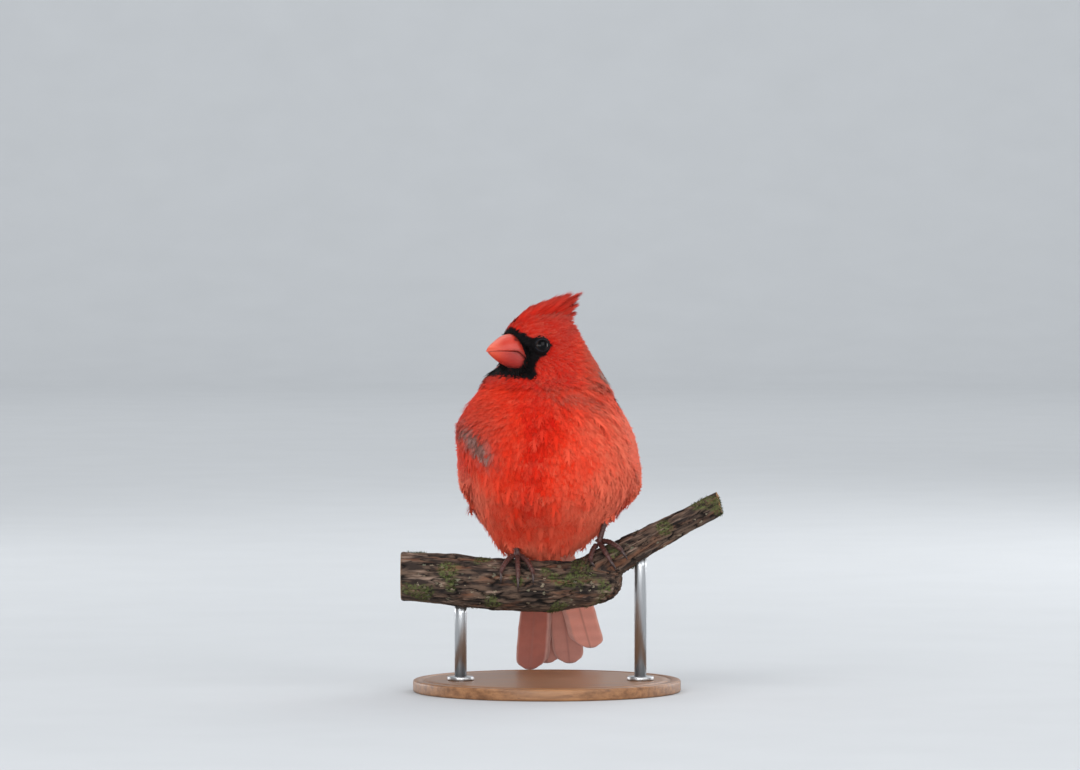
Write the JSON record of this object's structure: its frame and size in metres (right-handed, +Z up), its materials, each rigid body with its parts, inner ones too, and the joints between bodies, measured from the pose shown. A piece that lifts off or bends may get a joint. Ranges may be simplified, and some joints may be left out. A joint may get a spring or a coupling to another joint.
{
  "type": "northern cardinal, male, life-size still model on a perch and display stand",
  "caption": "Life-size museum model of a fluffed male northern cardinal, head turned aside, on a cut branch with a plain display stand.",
  "frame": {"origin": "on the floor, at the flat underside of the round base, under the middle of the bird", "axes": "+Z up, -Y the way the breast faces, +X the bird's left"},
  "size_m": [0.1342, 0.1464, 0.167],
  "materials": {
    "red_coat": "soft matt feathers, bright orange-red",
    "wing_coat": "soft matt feathers, dull red with grey edges",
    "tail_coat": "soft matt feathers, dull red to salmon",
    "bill": "smooth coral-red horn",
    "eye": "wet, near black",
    "feet": "scaly dark reddish brown",
    "bark": "rough grey-brown bark with moss and lichen",
    "base_wood": "oiled, satin",
    "rod_steel": "satin"
  },
  "bodies": {
    "root": {"head": "red_coat", "neck": "red_coat", "torso": "red_coat", "eye_left": "eye", "eye_right": "eye", "bill_upper": "bill", "bill_lower": "bill", "wing_left_coverts": "wing_coat", "wing_left_secondaries": "wing_coat", "wing_left_primaries": "wing_coat", "wing_right_coverts": "wing_coat", "wing_right_secondaries": "wing_coat", "wing_right_primaries": "wing_coat", "tail": "tail_coat", "tail_coverts_upper": "red_coat", "tail_coverts_under": "red_coat", "thigh_right": "red_coat", "tarsus_right": "feet", "toe_right_inner": "feet", "claw_right_inner": "feet", "toe_right_middle": "feet", "claw_right_middle": "feet", "toe_right_outer": "feet", "claw_right_outer": "feet", "toe_right_hind": "feet", "claw_right_hind": "feet", "thigh_left": "red_coat", "tarsus_left": "feet", "toe_left_inner": "feet", "claw_left_inner": "feet", "toe_left_middle": "feet", "claw_left_middle": "feet", "toe_left_outer": "feet", "claw_left_outer": "feet", "toe_left_hind": "feet", "claw_left_hind": "feet", "perch": "bark", "stand_base": "base_wood", "stand_rod_left": "rod_steel", "stand_rod_right": "rod_steel"}
  },
  "joints": []
}
